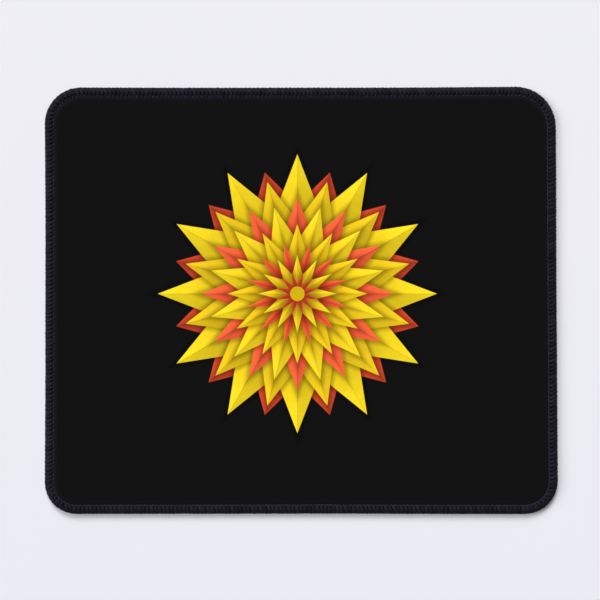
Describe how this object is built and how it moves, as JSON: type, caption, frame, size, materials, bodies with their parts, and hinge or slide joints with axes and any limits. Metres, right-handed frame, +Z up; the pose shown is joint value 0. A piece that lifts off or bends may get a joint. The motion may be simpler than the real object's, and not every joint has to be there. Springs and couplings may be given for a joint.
{
  "type": "mouse pad",
  "caption": "Flat rectangular mouse pad with rounded corners, a printed cloth face on a foam rubber base and an overlocked edge.",
  "frame": {"origin": "on the underside, at the middle of the pad's outline over the stitches", "axes": "+X along the long side to the right, +Y to the rear edge, away from the user, +Z up through the cloth face"},
  "size_m": [0.24, 0.2, 0.0033],
  "materials": {
    "foam_rubber": "black foam rubber with a fine pressed non-slip pattern underneath",
    "printed_cloth": "smooth close-knit polyester, black, with a printed picture in yellow and red",
    "thread": "black spun polyester thread, soft and slightly fuzzy"
  },
  "bodies": {
    "root": {"rubber_base": "foam_rubber", "cloth_top": "printed_cloth", "needle_thread": "thread", "upper_looper_thread": "thread", "lower_looper_thread": "thread"}
  },
  "joints": []
}
